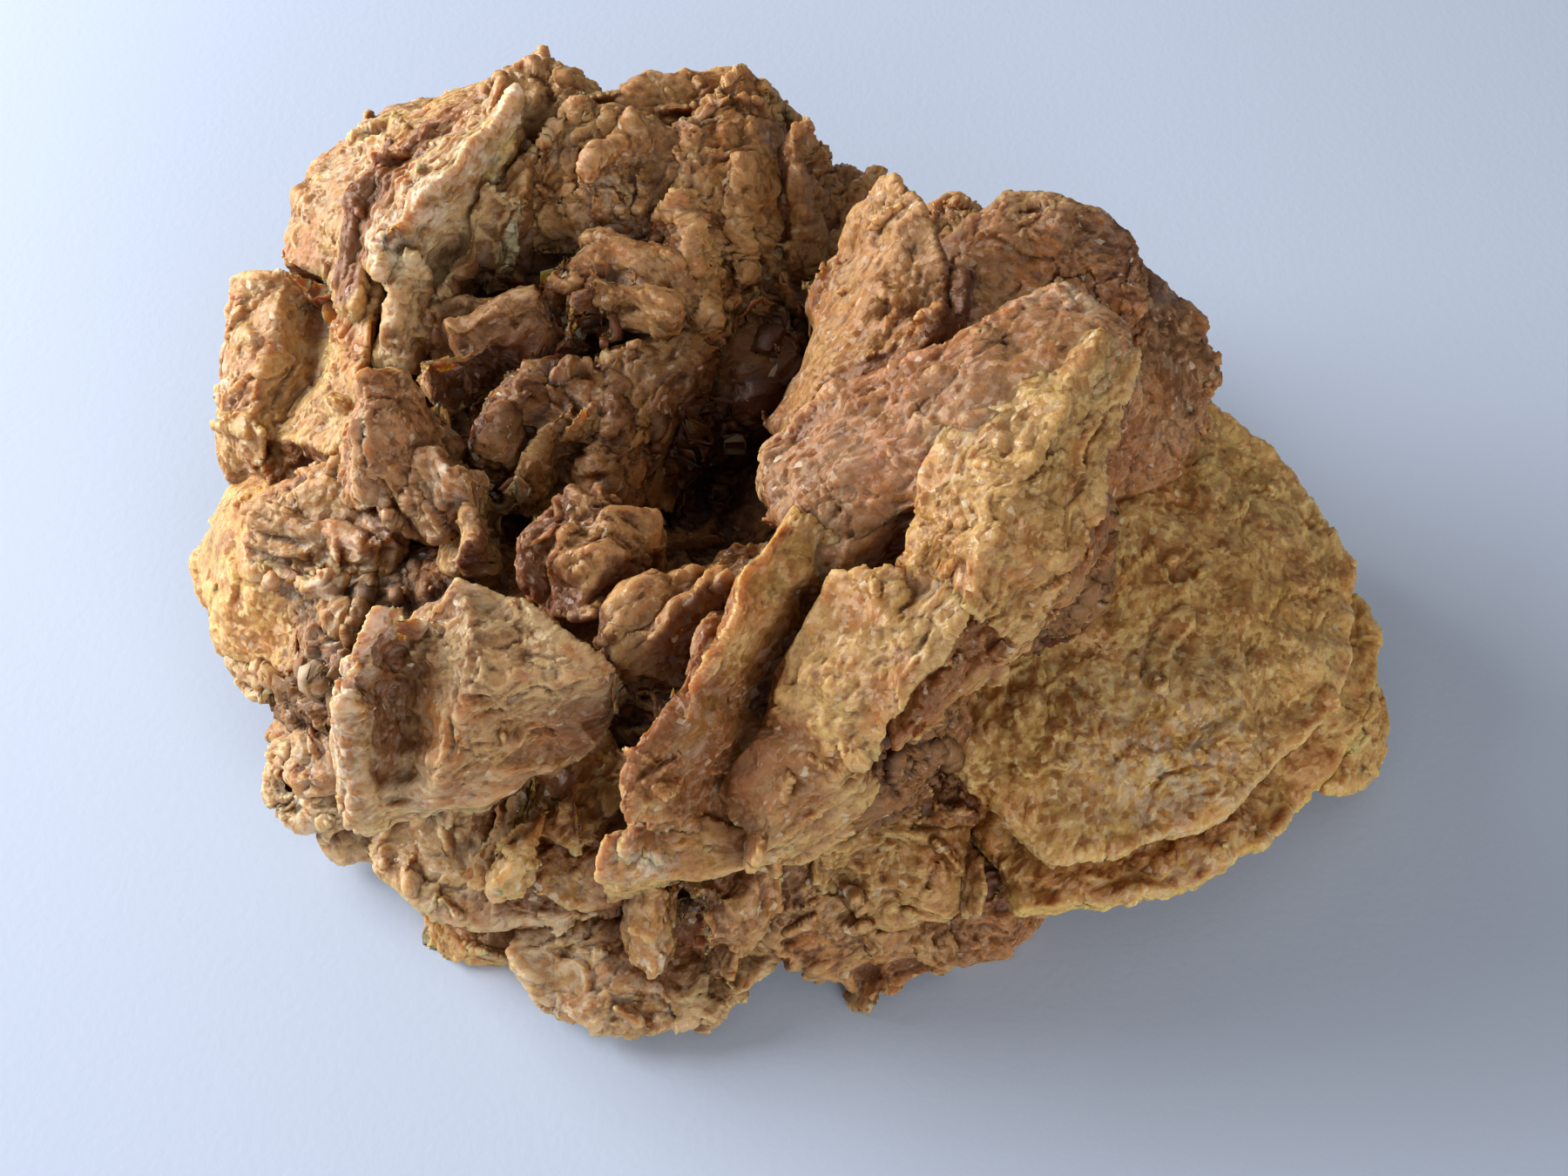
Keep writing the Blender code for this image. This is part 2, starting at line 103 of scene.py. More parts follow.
# sharp spurs on the crystals: both ends of the edge as shares of the crystal's box, then how far
# each flank falls from it and how thick the edge is, in mm
spurs = {
    "white_crest_blade": [
        ((0.87, 0.34, 0.90), (0.69, 0.00, 0.60), (-3, 0, -8), (3, -2, -8), 1.0),
        ((0.53, 0.05, 0.76), (0.43, -0.20, 0.48), (-3, 0, -8), (3, -1, -8), 1.3)],
    "peak_blade": [((0.70, 0.30, 1.10), (0.62, -0.30, 0.76), (-4, 0, -10), (4, -1, -10), 1.2)],
    "tan_face_blade": [
        ((0.55, 0.70, 1.15), (0.31, 0.23, 1.00), (-3, 3, -9), (3, -3, -8), 1.1),
        ((0.75, 0.15, 1.00), (0.85, -0.20, 0.52), (-4, 0, -7), (3, 0, -9), 1.2)],
    "top_brown_blade": [((0.56, 0.28, 1.20), (0.52, -0.10, 0.90), (-4, 0, -9), (4, 0, -9), 1.2)],
    "shoulder_blade": [
        ((0.40, 0.35, 0.98), (0.38, -0.10, 0.54), (-3, 0, -9), (3, 0, -9), 1.5),
        ((0.75, 0.60, 0.95), (0.72, 0.10, 0.55), (-4, -1, -8), (4, 0, -8), 1.2),
        ((0.70, -0.02, 0.62), (0.59, -0.30, 0.18), (-4, 0, -7), (3, 0, -8), 1.3)],
    "back_knob": [((0.57, 0.70, 1.15), (0.14, -0.10, 0.90), (-4, 1, -8), (3, -1, -8), 1.4)],
    "mid_step_blade": [
        ((0.26, 0.25, 0.98), (0.80, 0.12, 0.98), (0, 4, -7), (0, -2, -5), 1.5),
        ((0.18, 0.30, 0.86), (0.20, -0.16, 0.44), (-2, 0, -7), (2, 0, -7), 1.1)],
    "mid_rib_blade": [
        ((0.65, 0.59, 1.12), (0.24, 0.19, 0.93), (-1, 4, -8), (1, -3, -7), 1.3),
        ((0.63, 0.30, 1.00), (0.11, -0.20, 0.74), (-1, 3, -7), (1, -3, -7), 1.2)],
    "red_wall_blade": [
        ((0.00, 1.10, 0.56), (0.56, 0.25, 0.75), (-5, -3, -8), (5, 3, -8), 1.5),
        ((0.57, 0.32, 0.80), (1.06, 0.00, 0.72), (-2, -4, -7), (2, 4, -7), 1.1)],
    "hollow_plate": [
        ((0.05, -0.10, 0.95), (0.11, -0.75, 0.80), (-3, 0, -8), (3, 0, -8), 1.3),
        ((0.53, 0.68, 0.95), (0.30, -0.18, 0.85), (-4, 0, -8), (3, -1, -8), 1.2)],
    "rough_heart": [
        ((0.28, 0.53, 0.87), (0.25, 0.44, 0.85), (-4, 0, -8), (4, 0, -8), 1.3),
        ((0.37, 0.56, 0.87), (0.36, 0.40, 0.82), (-4, 0, -8), (4, 0, -8), 1.3),
        ((0.42, 0.63, 0.87), (0.40, 0.50, 0.78), (-4, 0, -8), (4, 0, -8), 1.2)],
    "front_slab": [
        ((0.16, 0.66, 0.98), (0.01, 0.37, 0.66), (-3, 0, -9), (4, 1, -6), 1.6),
        ((0.01, 0.37, 0.66), (0.03, 0.00, 0.10), (-3, 0, -9), (4, 1, -6), 1.6)],
    "valley_blade": [((1.05, 0.60, 1.25), (0.10, 0.05, 0.66), (-2, 3, -8), (2, -2, -8), 1.1)],
    "left_shelf_blade": [((0.03, 0.66, 0.77), (0.85, 0.11, 1.00), (-3, -3, -7), (2, 3, -7), 1.2)],
}

# broad facets of the main crystals: lines that run down the crystal side by side, as shares of its box,
# then how far the stone falls from the first line and from the last, in mm
sheets = {
    "front_slab": [
        ([
            [(0.15, 0.66, 0.95), (0.01, 0.37, 0.61), (-0.04, 0.16, 0.27), (0.01, 0.01, -0.01)],
            [(0.27, 0.66, 0.84), (0.14, 0.51, 0.38), (0.14, 0.23, 0.16), (0.17, 0.02, -0.01)],
            [(0.47, 0.63, 1.00), (0.46, 0.31, 0.78), (0.38, 0.11, 0.44), (0.33, -0.02, 0.10)],
            [(0.44, 0.77, 1.06), (1.05, 0.34, 0.78), (0.97, 0.17, 0.44), (0.63, 0.02, 0.16)],
        ], (-1, 2, -8), (-2, 3, -7)),
    ],
    "prow_blade": [
        ([
            [(1.05, 1.02, 1.25), (0.84, 0.79, 1.25), (0.50, 0.48, 0.87), (0.24, 0.29, 0.33), (0.08, 0.11, -0.13)],
            [(1.28, 0.98, 1.20), (1.05, 0.80, 0.95), (0.77, 0.54, 0.49), (0.59, 0.33, 0.18), (0.46, 0.11, -0.13)],
            [(1.45, 0.92, 1.05), (1.21, 0.84, 0.64), (1.05, 0.58, 0.26), (1.03, 0.34, 0.03), (0.88, 0.13, -0.13)],
        ], (-2, 2, -12), (0, 2, -6)),
    ],
    "right_crest_slab": [
        ([
            [(0.66, 0.86, 0.97), (0.39, 0.74, 0.85), (0.21, 0.57, 0.73), (0.18, 0.44, 0.56)],
            [(0.83, 0.86, 1.05), (0.64, 0.62, 0.93), (0.48, 0.43, 0.81), (0.37, 0.26, 0.65)],
            [(0.97, 0.86, 0.97), (0.85, 0.58, 0.81), (0.73, 0.38, 0.65), (0.56, 0.25, 0.44)],
        ], (0, 2, -8), (-3, 2, -9)),
    ],
    "front_crest_slab": [
        ([
            [(0.60, 1.17, 0.60), (0.39, 0.83, 0.39), (0.32, 0.53, 0.11), (0.31, 0.21, -0.03)],
            [(0.75, 1.09, 1.24), (0.49, 0.79, 0.89), (0.41, 0.48, 0.53), (0.38, 0.24, 0.25)],
            [(1.08, 1.05, 1.31), (0.75, 0.68, 1.03), (0.55, 0.41, 0.60), (0.46, 0.19, 0.25)],
            [(1.40, 0.81, 1.31), (1.11, 0.54, 1.03), (0.83, 0.33, 0.68), (0.57, 0.23, 0.32)],
        ], (0, 2, -5), (-3, 3, -8)),
    ],
    "pink_saddle_slab": [
        ([
            [(0.83, 0.89, 1.06), (0.51, 0.68, 0.88), (0.22, 0.61, 0.51), (0.04, 0.50, 0.14)],
            [(0.93, 0.73, 1.06), (0.63, 0.42, 0.88), (0.35, 0.23, 0.57), (0.08, 0.08, 0.20)],
            [(0.96, 0.53, 1.00), (0.72, 0.21, 0.75), (0.44, 0.04, 0.51), (0.17, -0.15, 0.20)],
        ], (-1, 3, -9), (2, -2, -6)),
    ],
    "tall_tip_blade": [
        ([
            [(0.49, 1.33, 0.86), (0.19, 1.13, 0.55), (-0.07, 0.87, 0.24), (-0.22, 0.57, 0.05)],
            [(0.62, 1.01, 0.94), (0.44, 0.65, 0.78), (0.20, 0.25, 0.59), (-0.07, -0.08, 0.39)],
            [(0.68, 0.96, 0.94), (0.75, 0.52, 0.82), (0.65, 0.17, 0.74), (0.38, -0.12, 0.63)],
        ], (-1, 3, -8), (2, 2, -12)),
    ],
    "chip_blade": [
        ([
            [(0.44, 0.82, 0.86), (0.40, 0.31, 0.71), (0.39, -0.06, 0.40)],
            [(0.72, 0.72, 0.86), (0.67, 0.22, 0.71), (0.53, -0.15, 0.40)],
            [(0.95, 0.72, 0.71), (0.90, 0.35, 0.55), (0.61, -0.10, 0.25)],
        ], (-2, 1, -8), (1, 2, -8)),
    ],
    "white_crest_blade": [
        ([
            [(0.81, 0.86, 0.85), (0.49, 0.64, 0.74), (0.17, 0.47, 0.59), (0.18, 0.24, 0.43)],
            [(0.98, 0.69, 1.11), (0.74, 0.30, 1.06), (0.48, 0.11, 0.90), (0.38, -0.03, 0.74)],
            [(0.99, 0.66, 0.85), (0.84, 0.34, 0.69), (0.64, 0.17, 0.54), (0.49, 0.01, 0.43)],
            [(1.05, 0.56, 0.90), (1.02, 0.27, 0.85), (0.98, 0.09, 0.64), (0.77, 0.02, 0.48)],
        ], (0, 3, -8), (2, 2, -8)),
    ],
    "upper_left_plate": [
        ([
            [(0.94, 0.71, 1.03), (0.49, 0.72, 0.84), (0.21, 0.63, 0.71), (0.07, 0.41, 0.61), (0.07, 0.09, 0.52)],
            [(1.00, 0.38, 1.21), (0.68, 0.30, 1.07), (0.43, 0.19, 0.93), (0.31, 0.05, 0.80), (0.27, -0.22, 0.66)],
            [(1.08, 0.16, 1.30), (0.83, -0.02, 1.21), (0.62, -0.14, 1.12), (0.48, -0.22, 0.98), (0.45, -0.45, 0.84)],
        ], (0, 3, -9), (2, 0, -8)),
    ],
    "left_hollow_lobe": [
        ([
            [(0.04, 0.92, 0.71), (0.05, 0.62, 0.52), (0.04, 0.29, 0.33)],
            [(0.37, 0.85, 0.96), (0.30, 0.42, 0.71), (0.23, 0.17, 0.46)],
            [(0.59, 0.81, 0.90), (0.48, 0.42, 0.52), (0.37, 0.16, 0.40)],
            [(0.89, 0.64, 1.28), (0.85, 0.20, 1.03), (0.76, -0.08, 0.77)],
        ], (2, 1, -8), (0, 2, -8)),
    ],
    "white_tipped_tooth": [
        ([
            [(0.28, 0.55, 0.79), (0.25, 0.29, 0.52), (0.28, 0.01, 0.18)],
            [(0.62, 0.50, 0.93), (0.59, 0.17, 0.66), (0.50, -0.14, 0.18)],
            [(0.91, 0.55, 0.79), (0.87, 0.29, 0.52), (0.71, 0.01, 0.18)],
        ], (0, 3, -3), (0, 3, -3)),
    ],
    "front_lip_plate": [
        ([
            [(-0.25, 0.19, 0.78), (0.17, 0.23, 0.92), (0.58, 0.37, 1.07), (0.95, 0.72, 1.21)],
            [(-0.29, -0.10, 0.50), (0.12, -0.15, 0.50), (0.58, 0.10, 0.64), (1.03, 0.70, 0.92)],
        ], (0, 1, -4), (0, 1, -3)),
    ],
}

# crystals with smoother faces and fewer small blades than the rest
calmer = {
    "tall_tip_blade": 0.4, "prow_blade": 0.55, "front_slab": 0.6, "pink_saddle_slab": 0.6, "front_lip_plate": 0.6,
    "right_crest_slab": 0.8, "front_crest_slab": 0.8, "chip_blade": 0.6, "white_crest_blade": 0.8,
    "upper_left_plate": 0.7, "left_hollow_lobe": 0.7, "white_tipped_tooth": 0.6, "left_honey_disc": 0.6}

# hollow places in the whole stone and spots of painted shade: middle as shares of its box, then radius and depth in
# mm, and how much dark sand and painted shade they hold; spots with no depth are painted shade only
hollowsAndShadeSpots = [
    ((0.31, 0.70, 0.74), 2.8, 3.6, 0.9), ((0.37, 0.63, 0.68), 3.0, 2.6, 0.7), ((0.33, 0.62, 0.68), 2.2, 2.2, 0.6),
    ((0.24, 0.54, 0.65), 3.6, 2.4, 0.5), ((0.30, 0.41, 0.61), 3.4, 3.0, 0.7), ((0.27, 0.58, 0.68), 2.6, 2.2, 0.6),
    ((0.32, 0.53, 0.63), 3.2, 2.0, 0.5), ((0.58, 0.32, 0.75), 2.2, 3.4, 0.9), ((0.42, 0.18, 0.50), 4.2, 2.8, 0.9),
    ((0.29, 0.26, 0.65), 1.6, 2.6, 0.9), ((0.52, 0.69, 0.68), 2.6, 2.6, 0.8), ((0.12, 0.73, 0.48), 4.6, 3.0, 0.3),
    ((0.26, 0.68, 0.68), 3.2, 2.8, 0.6), ((0.24, 0.26, 0.59), 6.0, 0.8, 0.3), ((0.49, 0.62, 0.54), 4.0, 2.0, 0.9),
    ((0.31, 0.17, 0.39), 3.0, 2.0, 0.5), ((0.44, 0.08, 0.27), 3.0, 2.0, 0.5), ((0.20, 0.73, 0.65), 3.0, 1.5, 0.2),
    ((0.32, 0.56, 0.62), 11.0, 0.0, 0.55), ((0.45, 0.55, 0.55), 9.0, 0.0, 0.85), ((0.53, 0.32, 0.64), 5.5, 0.0, 0.55),
    ((0.50, 0.75, 0.70), 7.0, 0.0, 0.35), ((0.02, 0.51, 0.29), 6.0, 0.0, 0.42),
    ((0.50, 0.62, 0.61), 3.6, 2.6, 0.95), ((0.47, 0.58, 0.56), 4.2, 3.2, 1.0), ((0.44, 0.50, 0.52), 4.4, 3.0, 1.0),
    ((0.40, 0.19, 0.54), 3.2, 2.4, 0.9), ((0.50, 0.28, 0.66), 3.0, 1.2, 0.8), ((0.49, 0.21, 0.57), 3.0, 1.0, 0.7),
    ((0.78, 0.73, 0.54), 9.0, 0.0, 0.70), ((0.81, 0.65, 0.47), 7.0, 0.0, 0.50), ((0.24, 0.22, 0.59), 8.0, 0.0, 0.42),
    ((0.27, 0.20, 0.47), 6.0, 0.0, 0.35), ((0.46, 0.54, 0.54), 7.5, 0.0, 1.00), ((0.49, 0.38, 0.54), 5.0, 0.0, 0.60)]


# pale glassy crust, with painted light laid on some spots the same way: middle as shares of the whole stone's box,
# radius in mm, and how thick it lies
crustAndLightSpots = [
    ((0.14, 0.85, 0.66), 6.0, 0.4), ((0.14, 0.41, 0.52), 6.0, 0.3), ((0.09, 0.68, 0.52), 6.0, 0.25),
    ((0.29, 0.82, 0.90), 3.0, 1.0), ((0.26, 0.76, 0.88), 3.2, 0.9), ((0.22, 0.71, 0.86), 3.4, 0.9), ((0.19, 0.68, 0.81), 3.4, 1.0),
    ((0.18, 0.66, 0.77), 2.6, 0.8), ((0.32, 0.78, 0.84), 1.6, 0.6), ((0.21, 0.25, 0.66), 2.6, 1.0), ((0.19, 0.22, 0.57), 2.8, 1.0),
    ((0.18, 0.18, 0.48), 2.8, 0.9), ((0.25, 0.42, 0.68), 2.0, 0.9), ((0.18, 0.42, 0.57), 2.4, 0.8), ((0.37, 0.62, 0.68), 1.1, 1.0),
    ((0.40, 0.03, 0.15), 2.6, 1.0), ((0.04, 0.67, 0.43), 1.8, 0.9), ((0.12, 0.24, 0.27), 3.0, 0.7), ((0.12, 0.22, 0.16), 3.0, 0.7),
    ((0.71, 0.50, 0.99), 2.6, 0.6), ((0.67, 0.50, 0.97), 2.6, 0.4), ((0.28, 0.29, 0.70), 1.6, 0.7), ((0.40, 0.05, 0.48), 2.4, 0.7),
    ((0.54, 0.37, 0.84), 4.0, 0.25), ((0.62, 0.37, 0.93), 5.0, 0.25), ((0.43, 0.83, 0.84), 1.6, 0.5),
    ((0.79, 0.22, 0.25), 10.0, 0.6), ((0.45, 0.14, 0.61), 4.5, 0.35),
    ((0.78, 0.19, 0.25), 10.0, 0.35), ((0.14, 0.39, 0.54), 7.0, 0.50), ((0.37, 0.73, 0.83), 6.0, 0.30),
    ((0.34, 0.06, 0.11), 8.0, 0.45), ((0.25, 0.15, 0.25), 4.5, 0.30), ((0.33, 0.25, 0.50), 4.0, 0.20),
    ((0.10, 0.67, 0.50), 5.0, 0.25), ((0.17, 0.78, 0.75), 6.0, 0.30), ((0.45, 0.13, 0.57), 5.0, 0.20)]


def linked(name, mesh):
    made = bpy.data.objects.new(name, mesh)
    scene.collection.objects.link(made)
    return made


# ---- materials

def addNode(tree, kind, **settings):
    made = tree.nodes.new(kind)
    for name, value in settings.items():
        if hasattr(made, name):
            setattr(made, name, value)
        else:
            made.inputs[name.replace("_", " ")].default_value = value
    return made


def mixColours(tree, share, under, over, blend="MIX"):
    made = tree.nodes.new("ShaderNodeMix")
    made.data_type = "RGBA"
    made.blend_type = blend
    for socket, value in ((made.inputs[0], share), (made.inputs[6], under), (made.inputs[7], over)):
        if isinstance(value, bpy.types.NodeSocket):
            tree.links.new(value, socket)
        elif isinstance(value, tuple):
            socket.default_value = (*value, 1.0)
        else:
            socket.default_value = value
    return made.outputs[2]


def ramp(tree, source, *stops):
    made = tree.nodes.new("ShaderNodeMapRange")
    made.interpolation_type = "SMOOTHSTEP"
    tree.links.new(source, made.inputs["Value"])
    for name, value in zip(("From Min", "From Max", "To Min", "To Max"), stops):
        made.inputs[name].default_value = value
    return made.outputs[0]


def times(tree, first, second):
    made = tree.nodes.new("ShaderNodeMath")
    made.operation = "MULTIPLY"
    for socket, value in zip(made.inputs, (first, second)):
        if isinstance(value, bpy.types.NodeSocket):
            tree.links.new(value, socket)
        else:
            socket.default_value = value
    return made.outputs[0]


def gypsum(slot, tone):
    made = bpy.data.materials.new(slot)
    made.use_nodes = True
    tree = made.node_tree
    shader = tree.nodes["Principled BSDF"]
    place = tree.nodes.new("ShaderNodeTexCoord").outputs["Object"]

    def noiseOf(size, detail=3.0, rough=0.55):
        found = addNode(tree, "ShaderNodeTexNoise", Scale=1 / (size * mm), Detail=detail, Roughness=rough)
        tree.links.new(place, found.inputs["Vector"])
        return found.outputs[0]

    grown = addNode(tree, "ShaderNodeAttribute", attribute_name="grown").outputs["Vector"]

    def cellsOf(size):
        found = addNode(tree, "ShaderNodeTexVoronoi", Scale=1 / size)
        tree.links.new(grown, found.inputs["Vector"])
        return found

    def facetsOf(found, size):
        # every grain is a flat face with its own tilt
        away = addNode(tree, "ShaderNodeVectorMath", operation="SUBTRACT")
        tree.links.new(grown, away.inputs[0])
        tree.links.new(found.outputs["Position"], away.inputs[1])
        tilt = addNode(tree, "ShaderNodeVectorMath", operation="SUBTRACT")
        tree.links.new(found.outputs["Color"], tilt.inputs[0])
        tilt.inputs[1].default_value = (0.5, 0.5, 0.5)
        level = addNode(tree, "ShaderNodeVectorMath", operation="DOT_PRODUCT")
        tree.links.new(away.outputs[0], level.inputs[0])
        tree.links.new(tilt.outputs[0], level.inputs[1])
        return times(tree, level.outputs["Value"], 2.0 / size)

    def attributeOf(name):
        return addNode(tree, "ShaderNodeAttribute", attribute_name=name).outputs["Fac"]

    crevice_shade_and_peak_light, crust_and_painted_light, rim, painted_occlusion_shade, sand = (
        attributeOf(name) for name in ("crevice_shade_and_peak_light", "crust_and_painted_light", "rim", "painted_occlusion_shade", "sand"))
    grains = cellsOf(0.5)
    grainToneAndGlints = addNode(tree, "ShaderNodeSeparateColor")
    tree.links.new(grains.outputs["Color"], grainToneAndGlints.inputs[0])

    colour = mixColours(tree, ramp(tree, noiseOf(12), 0.35, 0.65, 0.0, 0.8), tone["base"], tone["light"])
    stained = ramp(tree, noiseOf(9, 4.0), 0.62 - 0.3 * tone["stainShare"], 0.74, 0.0, 0.7)
    colour = mixColours(tree, stained, colour, tone["stain"])
    colour = mixColours(tree, ramp(tree, noiseOf(4.5, 3.0, 0.6), 0.48, 0.66, 0.0, 0.70), colour, (0.46, 0.17, 0.034))
    colour = mixColours(tree, ramp(tree, noiseOf(2.2, 4.0, 0.65), 0.50, 0.72, 0.0, 0.65), colour, tone["deep"])
    # painted glow: thin rims turn a paler honey tint, as if light shines through them
    colour = mixColours(tree, ramp(tree, rim, 0.45, 1.0, 0.0, 0.65), colour, tone["rimGlowTint"])
    colour = mixColours(tree, ramp(tree, grainToneAndGlints.outputs[0], 0.5, 1.0, 0.0, 0.35), colour, tone["light"])
    colour = mixColours(tree, ramp(tree, grainToneAndGlints.outputs[1], 0.35, 0.0, 0.0, 0.35), colour, tone["deep"])
    colour = mixColours(tree, ramp(tree, noiseOf(0.7, 2.0, 0.6), 0.52, 0.70, 0.0, 0.5), colour, tone["deep"])
    # painted shade in cracks and pits, and painted light on raised points
    colour = mixColours(tree, ramp(tree, crevice_shade_and_peak_light, 0.48, 0.22, 0.0, 0.80), colour, tone["deep"])
    colour = mixColours(tree, ramp(tree, crevice_shade_and_peak_light, 0.56, 0.85, 0.0, 0.55), colour, tone["light"])
    # pale glassy crust together with painted light on the listed spots and on rims that face the window lamp
    crustAndLight = times(tree, crust_and_painted_light, ramp(tree, noiseOf(1.4, 3.0, 0.6), 0.42, 0.60, 0.0, 0.85))
    colour = mixColours(tree, crustAndLight, colour, (0.74, 0.62, 0.46))
    # painted shade: the deep tone where the rest of the stone closes in around a point
    colour = mixColours(tree, ramp(tree, painted_occlusion_shade, 0.15, 0.75, 0.0, 0.9), colour, tone["deep"])
    # dark sand in the hollow places, together with painted shade laid there
    colour = mixColours(tree, ramp(tree, sand, 0.05, 0.95, 0.0, 0.95), colour, (0.065, 0.015, 0.0028))
    # painted glints: rare grains turn whitish as sparkling highlights
    colour = mixColours(tree, ramp(tree, grainToneAndGlints.outputs[2], 0.962, 1.0, 0.0, 0.5), colour, (0.76, 0.66, 0.48))
    tree.links.new(colour, shader.inputs["Base Color"])

    gloss = ramp(tree, grainToneAndGlints.outputs[1], 0.76, 0.98, tone["roughness"], 0.16)
    tree.links.new(gloss, shader.inputs["Roughness"])
    shader.inputs["Subsurface Weight"].default_value = tone["glow"]
    shader.inputs["Subsurface Radius"].default_value = (1.0, 0.42, 0.14)
    shader.inputs["Subsurface Scale"].default_value = 2.6 * mm
    shader.inputs["Specular IOR Level"].default_value = 0.46
    shader.inputs["IOR"].default_value = 1.52

    bumpBroad = addNode(tree, "ShaderNodeBump", Strength=0.9, Distance=0.42 * mm)
    tree.links.new(facetsOf(cellsOf(1.3), 1.3), bumpBroad.inputs["Height"])
    bumpGrains = addNode(tree, "ShaderNodeBump", Strength=0.9, Distance=0.30 * mm)
    tree.links.new(facetsOf(grains, 0.5), bumpGrains.inputs["Height"])
    tree.links.new(bumpBroad.outputs[0], bumpGrains.inputs["Normal"])
    bumpFine = addNode(tree, "ShaderNodeBump", Strength=0.7, Distance=0.18 * mm)
    tree.links.new(noiseOf(0.45, 3.0, 0.7), bumpFine.inputs["Height"])
    tree.links.new(bumpGrains.outputs[0], bumpFine.inputs["Normal"])
    tree.links.new(bumpFine.outputs[0], shader.inputs["Normal"])
    return made


# ---- shapes

def noiseAt(points, size, seed):
    shifted = points / size + np.array((seed * 5.13, seed * 2.71, seed * 8.37))
    return np.array([noise.noise(p) for p in shifted.tolist()])


def vectorNoiseAt(points, size, seed):
    shifted = points / size + np.array((seed * 1.93, seed * 7.31, seed * 3.77))
    return np.array([noise.noise_vector(p) for p in shifted.tolist()])


def chanceAt(cells, salt):
    # a repeatable number from 0 to 1 for each whole-numbered cell
    mixed = (cells[:, 0] * 73856093) ^ (cells[:, 1] * 19349663) ^ (cells[:, 2] * 83492791) ^ (salt * 26544357)
    mixed = ((mixed ^ (mixed >> 13)) * 1274126177) & 0xFFFFFFFF
    mixed = ((mixed ^ (mixed >> 16)) * 668265263) & 0xFFFFFFFF
    return (mixed >> 8) / 0xFFFFFF


def cellsAt(points, seed):
    # for each point: the gap between its nearest two seeds, the way from the nearest, and that one's cell
    home = np.floor(points).astype(np.int64)
    nearest = np.full(len(points), 9.0)
    second = np.full(len(points), 9.0)
    away = np.zeros_like(points)
    cell = home.copy()
    for step in itertools.product((-1, 0, 1), repeat=3):
        cells = home + np.array(step)
        seeds = cells + np.stack([chanceAt(cells, seed + axis) for axis in range(3)], axis=1)
        apart = points - seeds
        far = (apart ** 2).sum(axis=1)
        closer = far < nearest
        second = np.where(closer, nearest, np.minimum(second, far))
        nearest[closer] = far[closer]
        away[closer] = apart[closer]
        cell[closer] = cells[closer]
    return np.sqrt(second) - np.sqrt(nearest), away, cell


def facetsAt(places, size, seed, steep=0.8, step=0.5):
    # tilted flat scales, each with its own slope and level, in sizes, and the gap to the next scale
    gap, away, cell = cellsAt(places / size, seed)
    slopes = np.stack([chanceAt(cell, seed + 10 + axis) for axis in range(3)], axis=1) * 2 - 1
    return steep * (away * slopes).sum(axis=1) + step * (chanceAt(cell, seed + 20) - 0.5), gap


def plateOf(points):
    # the crystal's middle, and its two long directions and its thin one as rows
    middle = points.mean(axis=0)
    _, _, ways = np.linalg.svd(points - middle, full_matrices=False)
    return middle, ways


def growFlakes(form, look, draws, share):
    # small six-sided blades that stand out of the faces, half sunk in them
    faces = [face for face in form.faces if face.calc_center_median().z > 3 * mm or face.normal.z > -0.3]
    areas = [face.calc_area() for face in faces]
    count = round(sum(areas) / (100 * mm * mm) * look["flakesPer100"] * share)
    for face in draws.choices(faces, weights=areas, k=count):
        corners = [v.co for v in face.verts]
        shares = [draws.random() ** 0.5 for _ in corners]
        place = sum((c * s for c, s in zip(corners, shares)), Vector()) / sum(shares)
        length = draws.uniform(*look["flakeLength"]) * mm
        outward = face.normal
        lean = outward.orthogonal()
        lean.rotate(Matrix.Rotation(draws.uniform(0, 2 * math.pi), 3, outward))
        flat = (outward * draws.uniform(0.1, 1.5) + lean).normalized()
        turn = flat.to_track_quat("Z", "Y").to_matrix().to_4x4()
        turn = Matrix.Translation(place - outward * length * draws.uniform(0.25, 0.6)) @ turn
        sides = [draws.uniform(0.65, 1.15) for _ in range(6)]
        spin = draws.uniform(0, math.pi)
        rim = [turn @ Vector((length * s * math.cos(spin + k * math.pi / 3),
                              length * s * math.sin(spin + k * math.pi / 3), 0)) for k, s in enumerate(sides)]
        half = look["flakeThick"] * mm * draws.uniform(0.7, 1.3)
        top, bottom = (form.verts.new(turn @ Vector((0, 0, side * half))) for side in (1, -1))
        ring = [form.verts.new(p) for p in rim]
        for k in range(6):
            form.faces.new((ring[k], ring[(k + 1) % 6], top))
            form.faces.new((ring[(k + 1) % 6], ring[k], bottom))


def raiseSpur(form, box, row, draws):
    # one sharp edge with two flanks, a little ragged along its length
    start, end, left, right, thick = row
    low, high = (np.array(corner) / mm for corner in box)
    start, end = (low + np.array(share) * (high - low) for share in (start, end))
    left, right = np.array(left, float), np.array(right, float)
    across = (right - left) * (1, 1, 0)
    across = across / np.linalg.norm(across) * thick / 2
    stations = max(4, round(np.linalg.norm(end - start) / 2.2))
    rings = []
    for k in range(stations + 1):
        share = k / stations
        top = start + (end - start) * share
        top += np.array([draws.uniform(-0.7, 0.7), draws.uniform(-0.7, 0.7), draws.uniform(-0.9, 0.5)])
        taper = 1.0 - 0.35 * abs(2 * share - 1) ** 3
        hang = draws.uniform(0.3, 0.5)
        corners = (top - across, top + across, top + right * hang * 0.8 + across * 0.6,
                   top + right * taper, top + left * taper, top + left * hang * 0.8 - across * 0.6)
        rings.append([form.verts.new(corner * mm) for corner in corners])
    made = [form.faces.new(rings[0][::-1]), form.faces.new(rings[-1])]
    for near, far in zip(rings, rings[1:]):
        for k in range(6):
            made.append(form.faces.new((near[k], near[(k + 1) % 6], far[(k + 1) % 6], far[k])))
    bmesh.ops.recalc_face_normals(form, faces=made)


